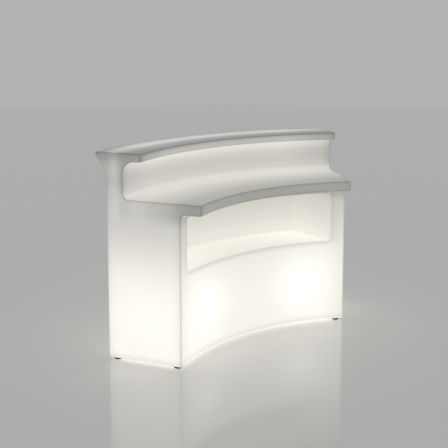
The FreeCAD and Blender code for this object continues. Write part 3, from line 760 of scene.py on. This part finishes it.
@dataclass
class PaintedGlowPolyethylene(Finish):
    """Translucent white polyethylene, rotationally moulded and lit from inside by two lamps.

    The eye sees a soft warm white that is brightest low down, where the lamps are, and greyer towards the
    lips, which little light reaches. This light is painted into the wall's emission, with painted pools of
    light beside the lamps, painted shade in corners, in the niche and along rounds, and painted highlights
    in coves. The wall lets most light through, so as a skin it is only a mid grey.
    The surface is satin, with the faint orange peel of the mould. Real orange peel is about 3 mm across; it
    is drawn three times as coarse, so that it shows.
    """

    form: CounterForm
    height: NodeSocket = field(init=False)
    radius: NodeSocket = field(init=False)
    depth: NodeSocket = field(init=False)
    skin: str = "#B8B8B6"
    # The colours of the painted glow: at its brightest, and where none is painted.
    light: str = "#FFFBF1"
    unlit: str = "#000000"
    roughness: float = 0.42
    ior: float = 1.51
    brightest: float = 1.35
    peel_mm: float = 9.0
    peel_depth_mm: float = 0.4
    peel_strength: float = 0.06
    # The painted glow at shares of the counter's height, with a thin darker dip at the base round.
    by_height: Pairs = (
        (0.0, 0.70), (0.016, 0.70), (0.024, 0.62), (0.031, 0.65), (0.05, 0.74), (0.11, 0.75), (0.28, 0.75),
        (0.42, 0.685), (0.55, 0.545), (0.69, 0.42), (0.78, 0.44), (0.82, 0.45), (0.86, 0.415), (0.92, 0.50),
        (0.97, 0.37), (1.0, 0.15),
    )
    # The part of the painted glow kept along the shelf, at shares of the way from the shelf lip to the flare.
    shelf_by_reach: Pairs = (
        (0.0, 0.40), (0.15, 0.44), (0.30, 0.63), (0.46, 0.79), (0.60, 0.94), (0.735, 0.86), (0.80, 1.0),
        (0.90, 1.0), (1.0, 0.60),
    )
    # The painted glow of the bar top at the same shares of the way.
    top_by_reach: Pairs = (
        (0.0, 0.09), (0.56, 0.09), (0.66, 0.12), (0.75, 0.26), (0.84, 0.42), (0.91, 0.32), (0.97, 0.12),
        (1.0, 0.0),
    )
    # The height over which the shelf's painted glow takes over from the wall's.
    overhang_blend: float = 0.09
    # Painted shade, as shares of the glow kept in the niche, in the middle, at the ends and in the corners,
    # with their depths.
    niche_shade_share: float = 0.79
    middle_shade_share: float = 0.92
    middle_depth: float = 0.50
    end_shade_loss: float = 0.44
    end_depth: float = 0.34
    corner_shade_share: float = 0.88
    upper_corner_shade_share: float = 0.65
    corner_depth: float = 0.05
    low_wall_depth: float = 0.14
    high_wall_depth: float = 0.06
    # The painted pools of light of the lamps: how bright they are and how they fall off.
    spot: float = 0.30
    spot_fall: float = 3.5
    spot_rise: float = 1.15
    # The painted shade of marked edges, as what they keep and lose, and the painted highlight that coves
    # gain.
    edge_shade_share: float = 0.76
    edge_shade_loss: float = 0.05
    cove_highlight_gain: float = 0.11

    def painted_spots(self) -> NodeSocket:
        """Painted pools of light where both lamps would light the wall.

        A spot is one on the wall beside its lamp. It falls off with distance, a little faster upwards, where
        the lamp's collar shades, and with the angle at which the light meets the wall.

        Returns:
            The sum of both spots.
        """
        facing = self.add("ShaderNodeTexCoord", output="Normal")
        beside = self.form.lamp_radius - self.form.inner_wall
        stretch = (1, 1, self.spot_rise)
        total = 0.0
        for side in Side:
            lamp = self.form.lamp(side)
            ahead = self.add(VECTOR_MATH, (self.place, lamp), operation="SUBTRACT")
            ahead = self.add(VECTOR_MATH, (ahead, stretch), operation="MULTIPLY")
            far = self.add(VECTOR_MATH, (ahead,), "Value", operation="LENGTH")
            near = self.add(MATH, (beside, far), operation="DIVIDE")
            fall = self.add(MATH, (near, self.spot_fall), operation="POWER")
            ray = self.add(VECTOR_MATH, (ahead,), operation="NORMALIZE")
            slant = self.add(VECTOR_MATH, (ray, facing), "Value", operation="DOT_PRODUCT")
            slant = self.add(MATH, (slant, 0), operation="MAXIMUM")
            total = self.add(MATH, (fall, slant, total), operation="MULTIPLY_ADD")
        return total

    def measure(self) -> None:
        """Finds a point's height, its distance from the axis, and its depth from the nearer flat end."""
        slope = (-math.cos(self.form.half_sweep), math.sin(self.form.half_sweep), 0)
        self.height = self.add("ShaderNodeSeparateXYZ", (self.place,), "Z")
        ahead = self.add(VECTOR_MATH, (self.place, self.form.axis), operation="SUBTRACT")
        level = self.add(VECTOR_MATH, (ahead, (1, 1, 0)), operation="MULTIPLY")
        self.radius = self.add(VECTOR_MATH, (level,), "Value", operation="LENGTH")
        folded = self.add(VECTOR_MATH, (level, (-1, 1, 1)), operation="MULTIPLY")
        half = self.add(VECTOR_MATH, (level, folded), operation="MAXIMUM")
        self.depth = self.add(VECTOR_MATH, (half, slope), "Value", operation="DOT_PRODUCT")

    def reach(self) -> NodeSocket:
        """The painted even glow: strong low down, weaker out to the lips, and a band along the bar top.

        Returns:
            The painted glow of the wall.
        """
        form = self.form
        rise = self.add(MATH, (self.height, form.height), operation="DIVIDE")
        glow = self.add("ShaderNodeFloatCurve", {"Value": rise}, stops=self.by_height)
        far = form.outer_wall + form.flare_reach
        out = self.add(MAP_RANGE, (self.radius, form.shelf_lip, far))
        shelf = self.add("ShaderNodeFloatCurve", {"Value": out}, stops=self.shelf_by_reach)
        shelf = self.add(MATH, (shelf, glow), operation="MULTIPLY")
        top = self.add("ShaderNodeFloatCurve", {"Value": out}, stops=self.top_by_reach)
        layers = (
            (form.shelf_underside - self.overhang_blend, form.shelf_underside, shelf),
            (form.height - form.edge_round, form.height, top),
        )
        for low, high, above in layers:
            share = self.add(MAP_RANGE, (self.height, low, high), **SMOOTH)
            glow = self.add(MIX, {0: share, 2: glow, 3: above}, data_type="FLOAT")
        return glow

    def ends(self) -> NodeSocket:
        """Painted shade at the ends of shelf and top, and a little in the middle, between the lamps.

        Returns:
            A share of the light.
        """
        inwards = (self.depth, 0, self.middle_depth, 1, self.middle_shade_share)
        middle = self.add(MAP_RANGE, inwards, **SMOOTH)
        near = self.add(MAP_RANGE, (self.depth, 0, self.end_depth, 1, 0), **SMOOTH)
        upwards = (self.height, self.form.niche_ceiling, self.form.height, 1, 1 - self.end_shade_loss)
        kept = self.add(MAP_RANGE, upwards)
        end = self.add(MIX, {0: near, 2: 1.0, 3: kept}, data_type="FLOAT")
        return self.add(MATH, (middle, end), operation="MULTIPLY")

    def corners(self) -> NodeSocket:
        """Painted shade where a flat end meets the inner or the outer wall, most of all high up.

        Returns:
            A share of the light.
        """
        form = self.form
        height = self.height
        inner = self.add(MAP_RANGE, (
            height, form.shelf, form.shelf + form.shelf_cove, form.inner_wall, form.upper_wall,
        ))
        inside = self.add(MATH, (self.radius, inner), operation="SUBTRACT")
        outside = self.add(MATH, (form.outer_wall, self.radius), operation="SUBTRACT")
        aside = self.add(MATH, (inside, outside), operation="MINIMUM")
        wall_depth = self.add(MAP_RANGE, (
            height, form.niche_floor, form.niche_ceiling, self.low_wall_depth, self.high_wall_depth,
        ))
        clear = 0.0
        for distance, far in ((aside, self.corner_depth), (self.depth, wall_depth)):
            away = self.add(MAP_RANGE, (distance, 0, far), **SMOOTH)
            clear = self.add(MATH, (away, clear), operation="MAXIMUM")
        share = self.add(MAP_RANGE, (
            height, form.niche_ceiling, form.recess_ceiling, self.corner_shade_share, self.upper_corner_shade_share,
        ))
        return self.add(MIX, {0: clear, 2: share, 3: 1.0}, data_type="FLOAT")

    def glow(self) -> NodeSocket:
        """All painted light on the wall: the lamps' painted spots and the even painted glow, less the painted
        shade of corners and edges, plus the painted highlight of coves.

        Returns:
            The glow, as a share of the brightest.
        """
        self.measure()
        niche = self.add("ShaderNodeAttribute", output="Fac", attribute_name=NICHE_SHADE_MARK)
        edge = self.add("ShaderNodeAttribute", output="Fac", attribute_name=EDGE_SHADING_MARK)
        lit = (self.painted_spots(), self.spot, self.reach())
        glow = self.add(MATH, lit, operation="MULTIPLY_ADD")
        shares = (
            self.ends(),
            self.corners(),
            self.add(MAP_RANGE, (niche, 0, 1, 1, self.niche_shade_share)),
            self.add(MAP_RANGE, (edge, 0, 1, 1, self.edge_shade_share)),
        )
        for share in shares:
            glow = self.add(MATH, (glow, share), operation="MULTIPLY")
        # Painted shade along convex rounds, and a painted highlight in coves.
        for full_mark, change in ((1, -self.edge_shade_loss), (-1, self.cove_highlight_gain)):
            line = self.add(MAP_RANGE, (edge, 0, full_mark, 0, change))
            glow = self.add(MATH, (glow, line), operation="ADD")
        return self.add(MATH, (glow, self.brightest), operation="DIVIDE", use_clamp=True)

    def paint(self) -> None:
        """Paints the glow into the wall's emission in place of the light from inside, and gives its skin the
        orange peel.
        """
        tones = {6: linear(self.unlit), 7: linear(self.light)}
        # The painted glow: emission that stands in for the lamps' light shining through the wall.
        tint = self.add(MIX, {0: self.glow(), **tones}, 2, data_type="RGBA")
        peel = self.add(NOISE, {"Vector": self.place, "Scale": 1 / (self.peel_mm * MM)})
        bump = self.add("ShaderNodeBump", {
            "Strength": self.peel_strength, "Distance": self.peel_depth_mm * MM, "Height": peel,
        })
        feed(self.shader, {
            "Base Color": linear(self.skin), "Roughness": self.roughness, "IOR": self.ior, "Normal": bump,
            "Emission Color": tint, "Emission Strength": self.brightest,
        })


@dataclass
class GrainedFinish(Finish):
    """A finish whose colour drifts between two tones, with a fine grain that breaks up its gloss.

    Real grain is under 0.3 mm wide. It is drawn several times as coarse, so that it shows.
    """

    colour: str
    second_colour: str
    roughness: float
    grain_mm: float
    grain_depth_mm: float = 0.02
    grain_detail: float = 3.0
    drift_mm: float = 14.0
    drift_detail: float = 2.0
    roughness_spread: float = 0.07
    ior: float = 1.5
    metallic: float = 0.0

    def grain_size(self) -> tuple[float, float, float]:
        """The grain's size along each axis, in millimetres."""
        return (self.grain_mm, self.grain_mm, self.grain_mm)

    def paint(self) -> None:
        """Lets the colour drift, and lays the grain into gloss and relief."""
        drift = self.add(NOISE, {
            "Vector": self.place, "Scale": 1 / (self.drift_mm * MM), "Detail": self.drift_detail,
        })
        tones = {6: linear(self.colour), 7: linear(self.second_colour)}
        tone = self.add(MIX, {0: drift, **tones}, 2, data_type="RGBA")
        scale = [1 / (size * MM) for size in self.grain_size()]
        fine = self.add("ShaderNodeMapping", {"Vector": self.place, "Scale": scale})
        grain = self.add(NOISE, {"Vector": fine, "Scale": 1.0, "Detail": self.grain_detail})
        smoothest = self.roughness - self.roughness_spread
        roughest = self.roughness + self.roughness_spread
        rough = self.add(MAP_RANGE, (grain, 0, 1, smoothest, roughest))
        bump = self.add("ShaderNodeBump", {"Distance": self.grain_depth_mm * MM, "Height": grain})
        feed(self.shader, {
            "Base Color": tone, "Roughness": rough, "Normal": bump, "IOR": self.ior,
            "Metallic": self.metallic,
        })


@dataclass
class MouldedPolymer(GrainedFinish):
    """A moulded plastic, rubber or coat.

    The eye sees one even colour, slightly clouded, with a dull sheen that the mould's fine grain breaks up.
    """


@dataclass
class TurnedMetal(GrainedFinish):
    """Metal that was turned, rolled or plated.

    The eye sees a bright metal with fine marks that run round the piece, and a tint that drifts a little
    where the plating or the air has coloured it.
    """

    drift_mm: float = 6.0
    drift_detail: float = 4.0
    roughness_spread: float = 0.10
    metallic: float = 1.0

    def grain_size(self) -> tuple[float, float, float]:
        """The size of the marks, which are long across the upright axis and fine along it."""
        return (self.drift_mm, self.drift_mm, self.grain_mm)


@dataclass
class OpalDiffuser(Finish):
    """The opal globe of a lamp, lit from inside: an even warm white that dims a little towards its collar."""

    form: CounterForm
    colour: str = "#F4F2EA"
    light: str = "#FFF6E0"
    collar_light: str = "#D8CBB0"
    strength: float = 4.0
    roughness: float = 0.35
    ior: float = 1.58
    dim_mm: float = 30.0
    peel_mm: float = 3.0
    peel_depth_mm: float = 0.02

    def paint(self) -> None:
        """Lights the globe and gives it a faint orange peel."""
        height = self.add("ShaderNodeSeparateXYZ", (self.place,), "Z")
        middle = self.form.lamp_height
        rise = (height, middle - self.dim_mm * MM, middle)
        crown = self.add(MAP_RANGE, rise, **SMOOTH)
        tones = {6: linear(self.collar_light), 7: linear(self.light)}
        glow = self.add(MIX, {0: crown, **tones}, 2, data_type="RGBA")
        peel = self.add(NOISE, {"Vector": self.place, "Scale": 1 / (self.peel_mm * MM)})
        bump = self.add("ShaderNodeBump", {"Distance": self.peel_depth_mm * MM, "Height": peel})
        feed(self.shader, {
            "Base Color": linear(self.colour), "Roughness": self.roughness, "IOR": self.ior, "Normal": bump,
            "Emission Color": glow, "Emission Strength": self.strength,
        })


@dataclass
class SealedResin(Finish):
    """A pale floor of sealed resin, which mirrors the counter softly and a little unevenly."""

    colour: str = "#F2F1EE"
    roughness: float = 0.10
    roughness_spread: float = 0.03
    gloss: float = 0.9
    coat: float = 0.45
    coat_roughness: float = 0.06
    cloud_mm: float = 1000 / 3
    cloud_detail: float = 3.0

    def paint(self) -> None:
        """Clouds the gloss under a clear coat."""
        cloud = self.add(NOISE, {
            "Vector": self.place, "Scale": 1 / (self.cloud_mm * MM), "Detail": self.cloud_detail,
        })
        smoothest = self.roughness - self.roughness_spread
        roughest = self.roughness + self.roughness_spread
        rough = self.add(MAP_RANGE, (cloud, 0, 1, smoothest, roughest))
        feed(self.shader, {
            "Base Color": linear(self.colour), "Roughness": rough, "Specular IOR Level": self.gloss,
            "Coat Weight": self.coat, "Coat Roughness": self.coat_roughness,
        })


@dataclass
class Hardware:
    """The feet, inserts, lamps and gland that keep their CAD shapes and get their real finishes here."""

    form: CounterForm

    def finishes(self) -> dict[Slot, Material]:
        """Builds each finish once.

        Returns:
            The finished material for each slot of the hardware.
        """
        finishes = {
            # Warm yellow, browner where the air has dulled it.
            Slot.BRASS: TurnedMetal("machined_brass", "#C9A45C", "#A98443", roughness=0.30, grain_mm=0.25),
            # Cool silver with a faint blue cast from the plating bath.
            Slot.ZINC: TurnedMetal(
                "bright_zinc_plated_steel", "#C6CACD", "#B4B7BE", roughness=0.34, grain_mm=0.30,
            ),
            # Warm silver, the brightest of the metals.
            Slot.NICKEL: TurnedMetal(
                "rolled_nickel_plated_brass", "#CDC9C0", "#B5B0A6", roughness=0.26, grain_mm=0.40,
            ),
            # Near black, with a dull sheen.
            Slot.POLYAMIDE: MouldedPolymer(
                "moulded_black_polyamide", "#1C1C1D", "#28282A",
                roughness=0.50, ior=1.53, grain_mm=0.6, grain_depth_mm=0.05,
            ),
            # Black and matt, greyer where bloom comes out.
            Slot.RUBBER: MouldedPolymer(
                "moulded_black_rubber", "#1A1A1A", "#242423",
                roughness=0.78, ior=1.52, grain_mm=0.8, grain_depth_mm=0.06,
            ),
            # Smooth soft white with a low gloss.
            Slot.PVC: MouldedPolymer(
                "extruded_white_pvc", "#E4E3DE", "#D6D4CC",
                roughness=0.38, ior=1.53, grain_mm=1.2, grain_depth_mm=0.03,
            ),
            # Clean white with the slight orange peel of baked powder.
            Slot.PAINTED: MouldedPolymer(
                "white_powder_coat", "#EBEBE7", "#E2E1DC",
                roughness=0.40, grain_mm=1.5, grain_depth_mm=0.05,
            ),
            # Creamy white, hard and glossy.
            Slot.PHENOLIC: MouldedPolymer(
                "moulded_white_phenolic", "#E7E3D8", "#DAD4C4",
                roughness=0.28, ior=1.60, grain_mm=1.0,
            ),
            # Cool white with a clear gloss.
            Slot.POLYCARBONATE: MouldedPolymer(
                "moulded_white_polycarbonate", "#ECEBE8", "#E1E0DB",
                roughness=0.30, ior=1.58, grain_mm=0.9,
            ),
            # Uncoloured, so a yellowish ivory.
            Slot.NATURAL: MouldedPolymer(
                "moulded_natural_polyamide", "#E0DCCB", "#D0CAB3",
                roughness=0.45, ior=1.53, grain_mm=0.7, grain_depth_mm=0.04,
            ),
            Slot.OPAL: OpalDiffuser("opal_polycarbonate_lit", self.form),
        }
        return {slot: finish.make() for slot, finish in finishes.items()}

    def dress(self, materials: dict[Slot, Material]) -> None:
        """Gives every CAD node of the hardware its finish.

        Args:
            materials: The finished material for each slot.
        """
        for part in frame["record"]["subparts"]:
            slot = Slot(part["material_slot"])
            if slot in materials:
                for place in frame["nodes"][part["node"]].material_slots:
                    place.material = materials[slot]
                LOG.info("node %s: %s", part["node"], materials[slot].name)


@dataclass
class Studio:
    """Plain pale floor, soft light and the camera at the photograph's angle."""

    floor_radius: float = 14.0
    floor_segments: int = 96
    sky: str = "#C4C5C6"
    sky_strength: float = 0.80
    camera_place: tuple[float, float, float] = (-2.990, -3.589, 1.732)
    camera_pitch: float = math.radians(7.655)
    camera_yaw: float = math.radians(38.87)
    focal_pixels: float = 843.15
    centre_row: float = 140.0
    sensor: float = 36.0

    def floor(self) -> None:
        """Lays the round floor."""
        mesh = bmesh.new()
        bmesh.ops.create_circle(mesh, cap_ends=True, radius=self.floor_radius, segments=self.floor_segments)
        new_object("floor", mesh, SealedResin("pale_sealed_resin_floor").make())

    def light(self) -> None:
        """Sets a soft even sky."""
        world = bpy.data.worlds.new("studio")
        world.use_nodes = True
        feed(world.node_tree.nodes["Background"], (linear(self.sky), self.sky_strength))
        bpy.context.scene.world = world
        bpy.context.scene.view_settings.view_transform = "Standard"

    def camera(self) -> None:
        """Stands the camera where the photograph was taken from."""
        data = bpy.data.cameras.new("camera")
        data.sensor_width = self.sensor
        data.lens = self.sensor * self.focal_pixels / IMAGE_PIXELS
        data.shift_y = (self.centre_row - IMAGE_PIXELS / 2) / IMAGE_PIXELS
        camera = bpy.data.objects.new("camera", data)
        camera.location = self.camera_place
        camera.rotation_euler = (QUARTER - self.camera_pitch, 0, -self.camera_yaw)
        bpy.context.scene.collection.objects.link(camera)
        bpy.context.scene.camera = camera

    def build(self) -> None:
        """Makes the whole studio."""
        self.floor()
        self.light()
        self.camera()


def node_middle(node: str) -> Vector:
    """The middle of a CAD node's box."""
    low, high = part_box(node)
    return (Vector(low) + Vector(high)) / 2


def main() -> None:
    """Builds the counter piece by piece, then the studio."""
    logging.basicConfig(level=logging.INFO, format="%(name)s: %(message)s")
    form = CounterForm()
    feet = {foot: node_middle(f"foot_pad_{foot.value}") for foot in Foot}
    moulding = PaintedGlowPolyethylene("translucent_polyethylene_lit", form).make()
    MouldedBody(form).build(moulding, list(feet.values()))
    hardware = Hardware(form)
    materials = hardware.finishes()
    hardware.dress(materials)
    LevellingStems().build(materials[Slot.ZINC], feet)
    Studio().build()


if __name__ == "__main__":
    main()
